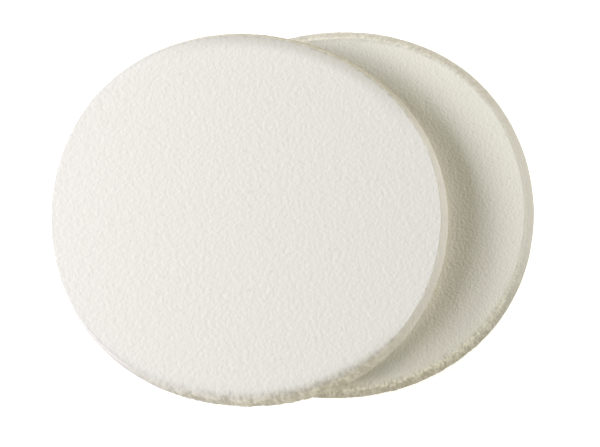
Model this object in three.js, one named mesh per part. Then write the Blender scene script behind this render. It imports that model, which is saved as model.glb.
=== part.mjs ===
// A pair of round makeup sponges: two loose foam discs, the upper one lying across the lower one.
// Millimetres, +Z up. The origin is under the middle of the lower sponge, +X runs along the overlap.
import * as THREE from "three";

// Each sponge is die-cut from one foam sheet, so both share the die and the sheet.
const SPONGE_RADIUS = 35; // outermost reach of the swollen rim
const SPONGE_THICKNESS = 5; // foam sheet, face to face
const RIM_BULGE = 1.6; // how far the cut rim swells beyond the edge of each flat face

// How the upper sponge lies on the lower one.
const UPPER_SHIFT_X = -15.5; // overhang to the left
const UPPER_SHIFT_Y = -3.2; // overhang towards the viewer
const LAY_GAP = 0.3; // clearance between the two faces that lie together

// Mesh fineness.
const TURN_STEPS = 96; // around a disc
const RIM_STEPS = 10; // across a rim, face to face

const IVORY = 0xe9e5da;

// Half section of a sponge: a flat underside, an arc that swells out between the faces, a flat top.
function spongeProfile() {
  const faceRadius = SPONGE_RADIUS - RIM_BULGE;
  const halfThickness = SPONGE_THICKNESS / 2;
  const arcRadius = (halfThickness ** 2 + RIM_BULGE ** 2) / (2 * RIM_BULGE);
  const arcCentre = SPONGE_RADIUS - arcRadius;
  const halfSweep = Math.atan2(halfThickness, faceRadius - arcCentre);
  const profile = [new THREE.Vector2(0, 0), new THREE.Vector2(faceRadius, 0)];
  for (let step = 1; step < RIM_STEPS; step += 1) {
    const angle = -halfSweep + (2 * halfSweep * step) / RIM_STEPS;
    const reach = arcCentre + arcRadius * Math.cos(angle);
    const height = halfThickness + arcRadius * Math.sin(angle);
    profile.push(new THREE.Vector2(reach, height));
  }
  profile.push(new THREE.Vector2(faceRadius, SPONGE_THICKNESS));
  profile.push(new THREE.Vector2(0, SPONGE_THICKNESS));
  return profile;
}

// One sponge, lying flat with the middle of its underside at the given place.
function sponge(name, x, y, z) {
  const geometry = new THREE.LatheGeometry(spongeProfile(), TURN_STEPS);
  geometry.rotateX(Math.PI / 2);
  geometry.translate(x, y, z);
  const material = new THREE.MeshStandardMaterial({ color: IVORY, roughness: 1, metalness: 0 });
  const mesh = new THREE.Mesh(geometry, material);
  mesh.name = name;
  return mesh;
}

const part = new THREE.Group();
part.name = "round_makeup_sponges";
part.add(sponge("lower_sponge", 0, 0, 0));
part.add(sponge("upper_sponge", UPPER_SHIFT_X, UPPER_SHIFT_Y, SPONGE_THICKNESS + LAY_GAP));

export default part;
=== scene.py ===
"""A pair of round makeup sponges, the upper one lying loose across the lower one."""
import math

import bpy
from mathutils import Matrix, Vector


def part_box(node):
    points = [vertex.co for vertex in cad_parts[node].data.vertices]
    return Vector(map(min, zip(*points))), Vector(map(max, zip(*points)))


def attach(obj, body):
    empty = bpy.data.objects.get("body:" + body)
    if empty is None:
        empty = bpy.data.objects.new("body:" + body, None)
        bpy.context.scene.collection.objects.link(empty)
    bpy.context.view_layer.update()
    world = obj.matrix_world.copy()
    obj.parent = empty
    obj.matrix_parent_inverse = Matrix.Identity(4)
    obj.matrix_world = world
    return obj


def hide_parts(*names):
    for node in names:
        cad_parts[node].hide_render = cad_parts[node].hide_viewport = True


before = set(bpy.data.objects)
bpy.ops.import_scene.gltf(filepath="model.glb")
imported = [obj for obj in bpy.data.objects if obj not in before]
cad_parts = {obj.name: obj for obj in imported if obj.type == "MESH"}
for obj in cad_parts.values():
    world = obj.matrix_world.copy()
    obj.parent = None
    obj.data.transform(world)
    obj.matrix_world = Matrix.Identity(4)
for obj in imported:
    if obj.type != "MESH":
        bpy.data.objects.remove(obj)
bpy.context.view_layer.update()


# The view: a long lens above the pair, leaning back towards the viewer, so that the round discs
# look a little oval and a sliver of the near rims shows.
CAMERA_AIM = Vector((-0.006598, -0.001679, 0.0))
CAMERA_DISTANCE = 0.6257
CAMERA_LEAN = math.radians(16.93)
CAMERA_TURN = math.radians(1.78)
CAMERA_NEAREST = 0.01
PIXELS_PER_METRE = 5568.8
PICTURE_WIDTH = 600

camera_side = Vector((
    math.sin(CAMERA_LEAN) * math.sin(CAMERA_TURN),
    -math.sin(CAMERA_LEAN) * math.cos(CAMERA_TURN),
    math.cos(CAMERA_LEAN),
))
camera_data = bpy.data.cameras.new("camera")
camera_data.sensor_fit = "HORIZONTAL"
camera_data.lens = PIXELS_PER_METRE * CAMERA_DISTANCE / PICTURE_WIDTH * camera_data.sensor_width
camera_data.clip_start = CAMERA_NEAREST
camera = bpy.data.objects.new("camera", camera_data)
camera.location = CAMERA_AIM + CAMERA_DISTANCE * camera_side
camera.rotation_euler = (-camera_side).to_track_quat("-Z", "Y").to_euler()
bpy.context.scene.collection.objects.link(camera)
bpy.context.scene.camera = camera
bpy.context.scene.view_settings.view_transform = "Standard"


# The table: a plain white ground just under the lower sponge. It glows where it is seen, so that it
# stays white to the eye, and its matte paint still takes the sponges' shadow.
FLOOR_HALF = 0.45
FLOOR_DROP = 0.0002
FLOOR_WHITE = (0.9, 0.9, 0.89, 1.0)
FLOOR_GLOW = 0.7
FLOOR_GLOW_TINT = (0.97, 0.98, 1.0, 1.0)
FLOOR_CORNERS = (-1, -1), (1, -1), (1, 1), (-1, 1)


def plug(tree, value, socket):
    """Sets a socket to a plain value, or links it to another node's output."""
    if isinstance(value, bpy.types.NodeSocket):
        tree.links.new(value, socket)
    else:
        socket.default_value = value


def math_of(tree, operation, *values):
    """The output of a Math node that works on the values."""
    node = tree.nodes.new("ShaderNodeMath")
    node.operation = operation
    for value, socket in zip(values, node.inputs):
        plug(tree, value, socket)
    return node.outputs[0]


def seen_of(tree):
    """1 for what the camera sees, directly or in a reflection, and 0 for what only lights the sponges."""
    path = tree.nodes.new("ShaderNodeLightPath").outputs
    mirrored = math_of(tree, "MAXIMUM", path["Is Glossy Ray"], path["Is Transmission Ray"])
    return math_of(tree, "MAXIMUM", path["Is Camera Ray"], mirrored)


floor_mesh = bpy.data.meshes.new("table")
floor_points = [(x * FLOOR_HALF, y * FLOOR_HALF, -FLOOR_DROP) for x, y in FLOOR_CORNERS]
floor_mesh.from_pydata(floor_points, [], [(0, 1, 2, 3)])
floor = bpy.data.objects.new("table", floor_mesh)
bpy.context.scene.collection.objects.link(floor)
floor_paint = bpy.data.materials.new("white_table")
floor_paint.use_nodes = True
floor_tree = floor_paint.node_tree
floor_tree.nodes.clear()
floor_matte = floor_tree.nodes.new("ShaderNodeBsdfDiffuse")
floor_matte.inputs["Color"].default_value = FLOOR_WHITE
floor_glow = floor_tree.nodes.new("ShaderNodeEmission")
floor_glow.inputs["Color"].default_value = FLOOR_GLOW_TINT
floor_strength = math_of(floor_tree, "MULTIPLY", seen_of(floor_tree), FLOOR_GLOW)
floor_both = floor_tree.nodes.new("ShaderNodeAddShader")
floor_out = floor_tree.nodes.new("ShaderNodeOutputMaterial")
plug(floor_tree, floor_strength, floor_glow.inputs["Strength"])
plug(floor_tree, floor_matte.outputs[0], floor_both.inputs[0])
plug(floor_tree, floor_glow.outputs[0], floor_both.inputs[1])
plug(floor_tree, floor_both.outputs[0], floor_out.inputs["Surface"])
floor_mesh.materials.append(floor_paint)


# The light: two softboxes on the left, a low one from behind and a higher one from the front, throw
# the upper sponge's soft shadow onto the lower one. Three strips close to the table, on the right,
# behind and in front, open up the rims.
LAMP_AIM = Vector((0.0, 0.0, 0.008))
KEY_DISTANCE = 0.47
STRIP_DISTANCE = 0.55
STRIP_HEIGHT = 12.0
ROOM_WHITE = (1.0, 1.0, 1.0, 1.0)


def softbox(name, distance, height, swing, power, tint, size):
    """A rectangular lamp that faces the sponges: height and swing in degrees, swing 0 from the left."""
    rise = math.radians(height)
    turn = math.radians(swing)
    side = Vector((
        -math.cos(rise) * math.cos(turn),
        math.cos(rise) * math.sin(turn),
        math.sin(rise),
    ))
    data = bpy.data.lights.new(name, "AREA")
    data.shape = "RECTANGLE"
    data.size, data.size_y = size
    data.energy = power
    data.color = tint
    lamp = bpy.data.objects.new(name, data)
    lamp.location = LAMP_AIM + distance * side
    lamp.rotation_euler = (-side).to_track_quat("-Z", "Y").to_euler()
    lamp.visible_camera = False
    bpy.context.scene.collection.objects.link(lamp)


softbox(
    "low_softbox", distance=KEY_DISTANCE, height=22.0, swing=20.0,
    power=1.65, tint=(0.97, 1.0, 1.045), size=(0.25, 0.14),
)
softbox(
    "high_softbox", distance=KEY_DISTANCE, height=32.0, swing=-18.0,
    power=1.48, tint=(1.025, 1.0, 1.05), size=(0.28, 0.18),
)
softbox(
    "right_strip", distance=STRIP_DISTANCE, height=STRIP_HEIGHT, swing=150.0,
    power=0.66, tint=(0.78, 1.0, 1.5), size=(0.35, 0.12),
)
softbox(
    "far_strip", distance=STRIP_DISTANCE, height=STRIP_HEIGHT, swing=120.0,
    power=2.05, tint=(1.11, 1.0, 0.66), size=(0.35, 0.12),
)
softbox(
    "near_strip", distance=STRIP_DISTANCE, height=STRIP_HEIGHT, swing=-128.0,
    power=1.85, tint=(1.055, 1.0, 0.74), size=(0.45, 0.12),
)

# The room is white to the eye and in reflections, and gives no light of its own.
room = bpy.data.worlds.new("room")
room.use_nodes = True
room_white = room.node_tree.nodes["Background"]
room_white.inputs["Color"].default_value = ROOM_WHITE
plug(room.node_tree, seen_of(room.node_tree), room_white.inputs["Strength"])
bpy.context.scene.world = room


# The lower sponge: one disc die-cut from a sheet of fine ivory latex foam. The knife squeezes the foam
# as it cuts, so the rim swells out past the edges of the two flat faces, and its cells are torn open.
# It lies on the table.
SPONGE_RADIUS = 0.035
SPONGE_THICKNESS = 0.005
RIM_BULGE = 0.0016
WELD_DISTANCE = 0.000001


def plus(tree, first, *others):
    """The sum of the values."""
    for other in others:
        first = math_of(tree, "ADD", first, other)
    return first


def minus(tree, first, second):
    """The first value less the second."""
    return math_of(tree, "SUBTRACT", first, second)


def times(tree, first, *others):
    """The product of the values."""
    for other in others:
        first = math_of(tree, "MULTIPLY", first, other)
    return first


def vector_of(tree, operation, first, second):
    """The output of a Vector Math node that works on two vectors, or on one and a scale."""
    node = tree.nodes.new("ShaderNodeVectorMath")
    node.operation = operation
    plug(tree, first, node.inputs[0])
    plug(tree, second, node.inputs["Scale" if operation == "SCALE" else 1])
    return node.outputs[0]


def bumps_of(tree, vector, seed, size, detail):
    """Noise from about -1 to 1, with bumps of the given size."""
    noise = tree.nodes.new("ShaderNodeTexNoise")
    noise.noise_dimensions = "4D"
    plug(tree, vector, noise.inputs["Vector"])
    plug(tree, seed, noise.inputs["W"])
    plug(tree, math_of(tree, "DIVIDE", 1.0, size), noise.inputs["Scale"])
    noise.inputs["Detail"].default_value = detail
    return times(tree, minus(tree, noise.outputs[0], 0.5), 2.0)


def ramp_of(tree, value, low, high):
    """0 at the low value, 1 at the high one, and a smooth step between; low may be the larger."""
    node = tree.nodes.new("ShaderNodeMapRange")
    node.interpolation_type = "SMOOTHSTEP"
    plug(tree, value, node.inputs["Value"])
    plug(tree, low, node.inputs["From Min"])
    plug(tree, high, node.inputs["From Max"])
    return node.outputs["Result"]


THREAD_DETAIL, THREAD_SHARE = 1.5, 1.3
CLUMP_DETAIL, CLUMP_SHARE = 1.0, 0.5


def tears_of(tree, where, stored, given):
    """Torn foam, about -1 in a hole and 1 on a shred: threads and clumps, drawn out as the knife went."""
    place = tree.nodes.new("ShaderNodeSeparateXYZ")
    plug(tree, where, place.inputs[0])
    drawn = tree.nodes.new("ShaderNodeCombineXYZ")
    plug(tree, stored["around"], drawn.inputs[0])
    for axis, length in ((1, stored["past_crease"]), (2, place.outputs[2])):
        plug(tree, math_of(tree, "DIVIDE", length, given["Tear Stretch"]), drawn.inputs[axis])
    threads = bumps_of(tree, drawn.outputs[0], given["Seed"], given["Tear Size"], THREAD_DETAIL)
    clumps = bumps_of(tree, drawn.outputs[0], given["Seed"], given["Clump Size"], CLUMP_DETAIL)
    return plus(tree, times(tree, threads, THREAD_SHARE), times(tree, clumps, CLUMP_SHARE))


CRISP_FROM, CRISP_FULL = 0.45, 0.95
WOBBLE_DETAIL = 1.0


def foam_disc_tree():
    """A cut foam disc: a sheet wrapped round the disc's half section, uneven and torn at the rim."""
    tree = bpy.data.node_groups.new("foam_disc", "GeometryNodeTree")
    for kind, names in (
        ("NodeSocketInt", ("Turn Steps", "Face Steps", "Rim Steps")),
        ("NodeSocketFloat", (
            "Radius", "Thickness", "Rim Bulge", "Side Pinch", "Under Bulge", "Rim Roundness",
            "Crease Soft", "Crease Crisp", "Crisp Side",
            "Oval", "Oval Turn", "Three Lobes", "Three Turn", "Four Lobes", "Four Turn",
            "Wobble", "Wobble Size", "Droop", "Droop Width", "Roll",
            "Tear", "Tear Size", "Clump Size", "Tear Stretch",
            "Torn Side", "Torn Reach", "Far Side", "Far Tears", "Far Shade", "Clean Tears", "Seed",
        )),
        ("NodeSocketVector", ("Place", "Slant")),
        ("NodeSocketMaterial", ("Foam",)),
    ):
        for name in names:
            tree.interface.new_socket(name, in_out="INPUT", socket_type=kind)
    tree.interface.new_socket("Disc", in_out="OUTPUT", socket_type="NodeSocketGeometry")
    given = tree.nodes.new("NodeGroupInput").outputs

    # The sheet: one way runs round the disc, the other from the middle of the underside over the rim
    # to the middle of the top. "up" is -1 on the underside, 1 on the top and between them on the rim.
    rows = plus(tree, times(tree, given["Face Steps"], 2.0), given["Rim Steps"])
    sheet = tree.nodes.new("GeometryNodeMeshGrid")
    plug(tree, plus(tree, given["Turn Steps"], 1.0), sheet.inputs["Vertices X"])
    plug(tree, plus(tree, rows, 1.0), sheet.inputs["Vertices Y"])
    on_sheet = tree.nodes.new("ShaderNodeSeparateXYZ")
    plug(tree, tree.nodes.new("GeometryNodeInputPosition").outputs[0], on_sheet.inputs[0])
    way = times(tree, on_sheet.outputs[0], 2.0 * math.pi)
    row = times(tree, plus(tree, on_sheet.outputs[1], 0.5), rows)
    up_rim = math_of(tree, "DIVIDE", minus(tree, row, given["Face Steps"]), given["Rim Steps"])
    held = math_of(tree, "MINIMUM", math_of(tree, "MAXIMUM", up_rim, 0.0), 1.0)
    up = minus(tree, times(tree, held, 2.0), 1.0)

    # Rings lie closer together towards the edge of a face.
    from_end = math_of(tree, "MINIMUM", row, minus(tree, rows, row))
    ring = math_of(tree, "MINIMUM", math_of(tree, "DIVIDE", from_end, given["Face Steps"]), 1.0)
    to_edge = minus(tree, 1.0, ring)
    spread = minus(tree, 1.0, times(tree, to_edge, to_edge))

    # The rim swells out from both face edges to a blunt ridge halfway up. Its upper half is pinched
    # a little at the left and right.
    half = times(tree, given["Thickness"], 0.5)
    twice = math_of(tree, "COSINE", times(tree, way, 2.0))
    upper_bulge = minus(tree, given["Rim Bulge"], times(tree, twice, given["Side Pinch"]))
    more = minus(tree, upper_bulge, given["Under Bulge"])
    upper_half = math_of(tree, "GREATER_THAN", up, 0.0)
    bulge = plus(tree, given["Under Bulge"], times(tree, more, upper_half))
    face_edge = minus(tree, given["Radius"], bulge)
    inward = math_of(tree, "POWER", math_of(tree, "ABSOLUTE", up), given["Rim Roundness"])
    reach = minus(tree, given["Radius"], times(tree, inward, bulge))
    distance = times(tree, spread, reach)
    height = plus(tree, half, times(tree, up, half))

    # A soft disc is never quite round: a few slow lobes go round the cut.
    swell = 1.0
    for count, size, turn in (
        (2.0, "Oval", "Oval Turn"),
        (3.0, "Three Lobes", "Three Turn"),
        (4.0, "Four Lobes", "Four Turn"),
    ):
        phase = times(tree, minus(tree, way, given[turn]), count)
        swell = plus(tree, swell, times(tree, math_of(tree, "COSINE", phase), given[size]))

    # One side is ragged, where the knife left the foam, and the far side less so; the rest is clean.
    torn_edge = math_of(tree, "COSINE", given["Torn Reach"])
    shares = {}
    for side in ("Torn Side", "Far Side"):
        towards = math_of(tree, "COSINE", minus(tree, way, given[side]))
        shares[side] = ramp_of(tree, towards, torn_edge, 1.0)
    far_tears = times(tree, shares["Far Side"], given["Far Tears"])
    ragged = math_of(tree, "MAXIMUM", plus(tree, shares["Torn Side"], far_tears), given["Clean Tears"])

    # The crease between face and rim is crisp on two opposite sides and soft between them.
    across = math_of(tree, "COSINE", minus(tree, way, given["Crisp Side"]))
    crisp = ramp_of(tree, math_of(tree, "ABSOLUTE", across), CRISP_FROM, CRISP_FULL)
    soft = minus(tree, 1.0, crisp)
    soft_part = times(tree, soft, given["Crease Soft"])
    crease = plus(tree, soft_part, times(tree, crisp, given["Crease Crisp"]))

    # Pressed by the knife, each face droops as it comes to a soft edge, most on the ragged side.
    droop_from = minus(tree, face_edge, given["Droop Width"])
    near_edge = ramp_of(tree, distance, droop_from, given["Radius"])
    soft_droop = times(tree, soft, given["Droop"])
    depth = plus(tree, soft_droop, times(tree, shares["Torn Side"], given["Roll"]))
    droop = times(tree, near_edge, depth, up)

    # The knife drags the foam a little as it comes down, so the top face sits off centre.
    radius = times(tree, distance, swell)
    shaped = tree.nodes.new("ShaderNodeCombineXYZ")
    plug(tree, times(tree, math_of(tree, "COSINE", way), radius), shaped.inputs[0])
    plug(tree, times(tree, math_of(tree, "SINE", way), radius), shaped.inputs[1])
    plug(tree, minus(tree, height, droop), shaped.inputs[2])
    drag = vector_of(tree, "SCALE", given["Slant"], math_of(tree, "MAXIMUM", up, 0.0))
    dragged = vector_of(tree, "ADD", shaped.outputs[0], drag)

    # How far round a point is and how far past the crease, how soft the crease is there, how ragged
    # the cut and how much painted shade it takes: kept on the mesh, because the material needs them too.
    disc = sheet.outputs["Mesh"]
    for name, value in (
        ("around", times(tree, way, given["Radius"])),
        ("past_crease", minus(tree, distance, face_edge)),
        ("crease", crease),
        ("ragged", ragged),
        ("painted_shade", times(tree, shares["Far Side"], given["Far Shade"])),
    ):
        store = tree.nodes.new("GeometryNodeStoreNamedAttribute")
        store.data_type = "FLOAT"
        store.domain = "POINT"
        store.inputs["Name"].default_value = name
        plug(tree, disc, store.inputs["Geometry"])
        plug(tree, value, store.inputs["Value"])
        disc = store.outputs[0]
    wrap = tree.nodes.new("GeometryNodeSetPosition")
    plug(tree, disc, wrap.inputs["Geometry"])
    plug(tree, vector_of(tree, "ADD", dragged, given["Place"]), wrap.inputs["Position"])
    weld = tree.nodes.new("GeometryNodeMergeByDistance")
    weld.inputs["Distance"].default_value = WELD_DISTANCE
    plug(tree, wrap.outputs[0], weld.inputs["Geometry"])

    # The rim wobbles slowly all round and is torn where it is ragged.
    where = tree.nodes.new("GeometryNodeInputPosition").outputs[0]
    outwards = tree.nodes.new("GeometryNodeInputNormal").outputs[0]
    stored = {}
    for name in ("around", "past_crease", "crease", "ragged"):
        read = tree.nodes.new("GeometryNodeInputNamedAttribute")
        read.data_type = "FLOAT"
        read.inputs["Name"].default_value = name
        stored[name] = read.outputs["Attribute"]
    inside_crease = times(tree, stored["crease"], -1.0)
    on_rim = ramp_of(tree, stored["past_crease"], inside_crease, stored["crease"])
    slow = bumps_of(tree, where, given["Seed"], given["Wobble Size"], WOBBLE_DETAIL)
    torn = times(tree, tears_of(tree, where, stored, given), stored["ragged"], given["Tear"])
    rough = plus(tree, times(tree, slow, given["Wobble"]), torn)
    roughen = tree.nodes.new("GeometryNodeSetPosition")
    plug(tree, weld.outputs[0], roughen.inputs["Geometry"])
    offset = vector_of(tree, "SCALE", outwards, times(tree, on_rim, rough))
    plug(tree, offset, roughen.inputs["Offset"])

    smooth = tree.nodes.new("GeometryNodeSetShadeSmooth")
    real = tree.nodes.new("GeometryNodeRealizeInstances")
    dress = tree.nodes.new("GeometryNodeSetMaterial")
    result = tree.nodes.new("NodeGroupOutput")
    plug(tree, roughen.outputs[0], smooth.inputs["Geometry"])
    plug(tree, smooth.outputs[0], real.inputs["Geometry"])
    plug(tree, real.outputs[0], dress.inputs["Geometry"])
    plug(tree, given["Foam"], dress.inputs["Material"])
    plug(tree, dress.outputs[0], result.inputs["Disc"])
    return tree


GRAIN_DETAIL, GRAIN_SPAN = 1.5, 0.6
PATCH_DETAIL, PATCH_WIDTH, PATCH_CONTRAST = 1.0, 1.5, 1.2
PINHOLE_EDGE, PINHOLE_FLOOR = 0.16, 0.06
OPEN_CELL_DETAIL = 3.0
HOLE_SPAN = 0.3


def foam_cells_group():
    """The foam's skin: fine grain and a few pinholes on a face, torn open cells on the cut rim, each with
    painted shade.
    """
    group = bpy.data.node_groups.new("foam_cells", "ShaderNodeTree")
    for name in (
        "Grain Size", "Grain Shift", "Grain Depth", "Pinhole Spread", "Rim Depth", "Frayed", "Spill",
        "Fuzz Width", "Fuzz Depth", "Ridge Width", "Ridge Shade", "Edge Shade",
        "Tear Size", "Clump Size", "Tear Stretch", "Seed",
    ):
        group.interface.new_socket(name, in_out="INPUT", socket_type="NodeSocketFloat")
    for name in ("Painted Grain Shade", "Painted Pinhole Shade", "Rim", "Ragged", "Painted Hole Shade", "Painted Shade", "Height"):
        group.interface.new_socket(name, in_out="OUTPUT", socket_type="NodeSocketFloat")
    given = group.nodes.new("NodeGroupInput").outputs
    result = group.nodes.new("NodeGroupOutput").inputs
    where = group.nodes.new("ShaderNodeTexCoord").outputs["Object"]
    stored = {}
    for name in ("around", "past_crease", "crease", "ragged", "painted_shade"):
        read = group.nodes.new("ShaderNodeAttribute")
        read.attribute_name = name
        stored[name] = read.outputs["Fac"]

    # Grain: painted shade of tiny raised cells lit from one side, pale and dark flanks side by side,
    # stronger in patches.
    beside = group.nodes.new("ShaderNodeCombineXYZ")
    plug(group, given["Grain Shift"], beside.inputs[0])
    moved = vector_of(group, "ADD", where, beside.outputs[0])
    here = bumps_of(group, where, given["Seed"], given["Grain Size"], GRAIN_DETAIL)
    there = bumps_of(group, moved, given["Seed"], given["Grain Size"], GRAIN_DETAIL)
    patch_size = times(group, given["Grain Size"], PATCH_WIDTH)
    patches = bumps_of(group, where, given["Seed"], patch_size, PATCH_DETAIL)
    strength = plus(group, times(group, patches, PATCH_CONTRAST), 1.0)
    flank = times(group, minus(group, here, there), strength)
    plug(group, ramp_of(group, flank, GRAIN_SPAN, -GRAIN_SPAN), result["Painted Grain Shade"])
    # Pinholes: dark dots of painted shade inside small holes that the surface itself does not have.
    cells = group.nodes.new("ShaderNodeTexVoronoi")
    plug(group, where, cells.inputs["Vector"])
    plug(group, math_of(group, "DIVIDE", 1.0, given["Pinhole Spread"]), cells.inputs["Scale"])
    pinholes = ramp_of(group, cells.outputs["Distance"], PINHOLE_EDGE, PINHOLE_FLOOR)
    plug(group, pinholes, result["Painted Pinhole Shade"])

    # The rim begins at the crease; where it is ragged its holes run on into the face.
    tears = tears_of(group, where, stored, given)
    spilled = minus(group, given["Spill"], times(group, tears, given["Frayed"]))
    frayed = plus(group, stored["past_crease"], times(group, spilled, stored["ragged"]))
    on_rim = ramp_of(group, frayed, times(group, stored["crease"], -1.0), stored["crease"])
    plug(group, stored["ragged"], result["Ragged"])
    # Painted shade: the torn rim is darker in the pits its tears dig, paler on the shreds.
    plug(group, ramp_of(group, tears, HOLE_SPAN, -HOLE_SPAN), result["Painted Hole Shade"])

    # A ragged rim is darkened towards its ridge, and a rim's far side all over: painted shade. Where the
    # far rim is shaded so, the face beside it takes painted shade too.
    to_ridge = ramp_of(group, stored["past_crease"], 0.0, given["Ridge Width"])
    ridge = times(group, to_ridge, stored["ragged"], given["Ridge Shade"])
    plug(group, plus(group, stored["painted_shade"], ridge), result["Painted Shade"])
    fuzz_from = times(group, given["Fuzz Width"], -1.0)
    beside_rim = ramp_of(group, stored["past_crease"], fuzz_from, 0.0)
    shade = times(group, beside_rim, stored["painted_shade"], given["Edge Shade"])
    plug(group, math_of(group, "MAXIMUM", on_rim, shade), result["Rim"])

    # Relief: grain all over, open cells on the rim, and fuzz from a ragged rim into the face.
    open_cells = bumps_of(group, where, given["Seed"], given["Grain Size"], OPEN_CELL_DETAIL)
    fuzzy = times(group, beside_rim, stored["ragged"])
    height = times(group, here, given["Grain Depth"])
    for bumps, share, depth in ((open_cells, on_rim, "Rim Depth"), (tears, fuzzy, "Fuzz Depth")):
        height = plus(group, height, times(group, bumps, share, given[depth]))
    plug(group, height, result["Height"])
    return group


def blend_of(tree, share, first, second):
    """A colour between the first and the second."""
    node = tree.nodes.new("ShaderNodeMix")
    node.data_type = "RGBA"
    plug(tree, share, node.inputs[0])
    plug(tree, first, node.inputs[6])
    plug(tree, second, node.inputs[7])
    return node.outputs[2]


FOAM_ROUGHNESS = 0.95
FOAM_SHINE = 0.15
RELIEF_SCALE = 1.0


def foam_material(name, cells, tones, sizes):
    """Matte ivory foam, with painted shade on one flank of its grain, in its pinholes and in the pits of
    its torn rim; the cut rim is darker still, partly its own deeper tone and partly painted shade.
    """
    foam = bpy.data.materials.new(name)
    foam.use_nodes = True
    tree = foam.node_tree
    skin = tree.nodes["Principled BSDF"]
    skin.inputs["Roughness"].default_value = FOAM_ROUGHNESS
    skin.inputs["Specular IOR Level"].default_value = FOAM_SHINE
    placed = tree.nodes.new("ShaderNodeGroup")
    placed.node_tree = cells
    for size, value in sizes.items():
        placed.inputs[size].default_value = value
    mask = placed.outputs
    # Painted shade: the grain darkens one flank of each tiny cell, on face and rim alike.
    grain_shaded_face = blend_of(tree, mask["Painted Grain Shade"], tones["face"], tones["face shaded flank"])
    # Painted shade in the pinholes.
    holed_face = blend_of(tree, mask["Painted Pinhole Shade"], grain_shaded_face, tones["pinhole"])
    clean_rim = blend_of(tree, mask["Painted Grain Shade"], tones["rim"], tones["rim shaded flank"])
    # Painted shade in the pits of the torn rim.
    torn_rim = blend_of(tree, mask["Painted Hole Shade"], tones["shred"], tones["hole"])
    mottled_rim = blend_of(tree, mask["Ragged"], clean_rim, torn_rim)
    # Painted shade on the far rim and towards a ragged rim's ridge.
    cut_rim = blend_of(tree, mask["Painted Shade"], mottled_rim, tones["painted_shade"])
    plug(tree, blend_of(tree, mask["Rim"], holed_face, cut_rim), skin.inputs["Base Color"])
    bump = tree.nodes.new("ShaderNodeBump")
    bump.inputs["Distance"].default_value = RELIEF_SCALE
    plug(tree, mask["Height"], bump.inputs["Height"])
    plug(tree, bump.outputs[0], skin.inputs["Normal"])
    return foam


def cut_sponge(name, tree, sizes):
    """One sponge as a plain mesh, made by the disc tree with the given sizes."""
    blank = bpy.data.objects.new(name + "_blank", bpy.data.meshes.new(name + "_blank"))
    bpy.context.scene.collection.objects.link(blank)
    maker = blank.modifiers.new("foam_disc", "NODES")
    maker.node_group = tree
    for socket in tree.interface.items_tree:
        if socket.in_out == "INPUT":
            maker[socket.identifier] = sizes[socket.name]
    graph = bpy.context.evaluated_depsgraph_get()
    mesh = bpy.data.meshes.new_from_object(blank.evaluated_get(graph), depsgraph=graph)
    blank.modifiers.remove(maker)
    bpy.data.objects.remove(blank)
    mesh.name = name
    piece = bpy.data.objects.new(name, mesh)
    bpy.context.scene.collection.objects.link(piece)
    return piece


foam_disc = foam_disc_tree()
foam_cells = foam_cells_group()
# The cut rim's tones are far darker than the faces': partly the torn cells' own deeper tone, partly
# painted shade.
rim_tones = {
    "rim": (0.632, 0.612, 0.60, 1.0),
    "rim shaded flank": (0.572, 0.552, 0.536, 1.0),
    "painted_shade": (0.40, 0.375, 0.32, 1.0),
}
# The lower sponge's tones are a little yellower than the upper one's: painted warm shade for the shadow
# it lies in.
lower_tones = {
    "face": (0.965, 0.95, 0.895, 1.0),
    "face shaded flank": (0.815, 0.795, 0.72, 1.0),
    "pinhole": (0.76, 0.74, 0.68, 1.0),
    "shred": (0.63, 0.615, 0.57, 1.0),
    "hole": (0.46, 0.44, 0.39, 1.0),
}
cell_sizes = {
    "Rim Depth": 0.00004, "Fuzz Width": 0.003,
    "Ridge Width": 0.0012, "Ridge Shade": 0.35, "Edge Shade": 0.45,
}
lower_tears = {"Tear Size": 0.00045, "Clump Size": 0.002, "Tear Stretch": 2.0, "Seed": 3.0}
lower_foam = foam_material("lower_foam", foam_cells, {**rim_tones, **lower_tones}, {
    **cell_sizes, **lower_tears,
    "Grain Size": 0.00044, "Grain Shift": 0.00015, "Grain Depth": 0.000044, "Pinhole Spread": 0.0014,
    "Frayed": 0.0007, "Spill": 0.0, "Fuzz Depth": 0.00005,
})
sponge_sizes = {
    "Turn Steps": 1200, "Face Steps": 14, "Rim Steps": 28,
    "Radius": SPONGE_RADIUS, "Thickness": SPONGE_THICKNESS,
    "Under Bulge": RIM_BULGE, "Rim Roundness": 1.3,
    "Wobble": 0.0001, "Wobble Size": 0.006,
    "Droop": 0.0002, "Droop Width": 0.0012, "Clean Tears": 0.03,
}
lower_low, lower_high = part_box("lower_sponge")
lower_middle = (lower_low + lower_high) / 2
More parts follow.
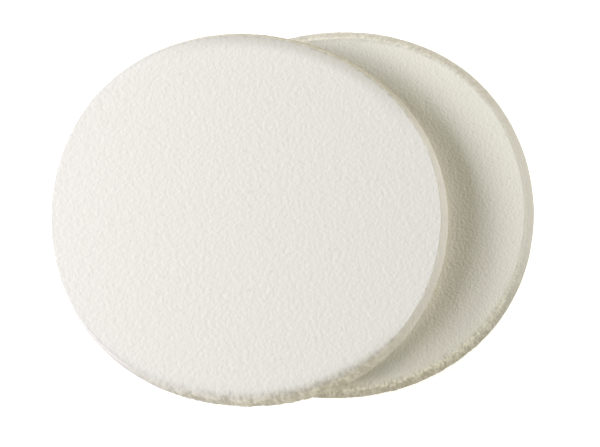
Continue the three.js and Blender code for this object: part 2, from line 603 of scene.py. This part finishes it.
lower_sponge = cut_sponge("lower_sponge_foam", foam_disc, {
    **sponge_sizes, **lower_tears,
    "Place": (lower_middle.x, lower_middle.y, lower_low.z), "Slant": (-0.00015, -0.00054, 0.0),
    "Rim Bulge": 0.00156, "Side Pinch": 0.00004,
    "Oval": 0.0159, "Oval Turn": math.radians(8.6),
    "Three Lobes": 0.0055, "Three Turn": math.radians(44.5),
    "Four Lobes": 0.0066, "Four Turn": math.radians(-34.2),
    "Crease Soft": 0.0009, "Crease Crisp": 0.0005, "Crisp Side": math.radians(25.0),
    "Roll": 0.0009, "Tear": 0.00015,
    "Torn Side": math.radians(-70.0), "Torn Reach": math.radians(65.0),
    "Far Side": math.radians(80.0), "Far Tears": 0.5, "Far Shade": 0.0,
    "Foam": lower_foam,
})
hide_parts("lower_sponge")
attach(lower_sponge, "lower_sponge")


# The upper sponge: a second disc from the same die and sheet. Nothing joins it to the lower one: it
# lies loose across it, overhanging to the left and a little towards the viewer.
UPPER_NUDGE = 0.00015
upper_tones = {
    "face": (0.965, 0.95, 0.92, 1.0),
    "face shaded flank": (0.785, 0.77, 0.735, 1.0),
    "pinhole": (0.82, 0.80, 0.76, 1.0),
    "shred": (0.64, 0.62, 0.575, 1.0),
    "hole": (0.475, 0.455, 0.41, 1.0),
}
upper_tears = {"Tear Size": 0.0007, "Clump Size": 0.002, "Tear Stretch": 1.6, "Seed": 11.0}
upper_foam = foam_material("upper_foam", foam_cells, {**rim_tones, **upper_tones}, {
    **cell_sizes, **upper_tears,
    "Grain Size": 0.00063, "Grain Shift": 0.0002, "Grain Depth": 0.000018, "Pinhole Spread": 0.003,
    "Frayed": 0.0008, "Spill": 0.0005, "Fuzz Depth": 0.00003,
})
upper_low, upper_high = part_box("upper_sponge")
upper_middle = (upper_low + upper_high) / 2
upper_sponge = cut_sponge("upper_sponge_foam", foam_disc, {
    **sponge_sizes, **upper_tears,
    "Place": (upper_middle.x - UPPER_NUDGE, upper_middle.y, upper_low.z),
    "Slant": (-0.00064, -0.00027, 0.0),
    "Rim Bulge": 0.00077, "Side Pinch": 0.00013,
    "Oval": 0.0105, "Oval Turn": math.radians(-16.6),
    "Three Lobes": 0.0065, "Three Turn": math.radians(-0.4),
    "Four Lobes": 0.0062, "Four Turn": math.radians(41.0),
    "Crease Soft": 0.0012, "Crease Crisp": 0.00015, "Crisp Side": math.radians(-2.0),
    "Roll": 0.0008, "Tear": 0.0002,
    "Torn Side": math.radians(-81.0), "Torn Reach": math.radians(52.0),
    "Far Side": math.radians(74.0), "Far Tears": 0.55, "Far Shade": 1.0,
    "Foam": upper_foam,
})
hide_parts("upper_sponge")
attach(upper_sponge, "upper_sponge")
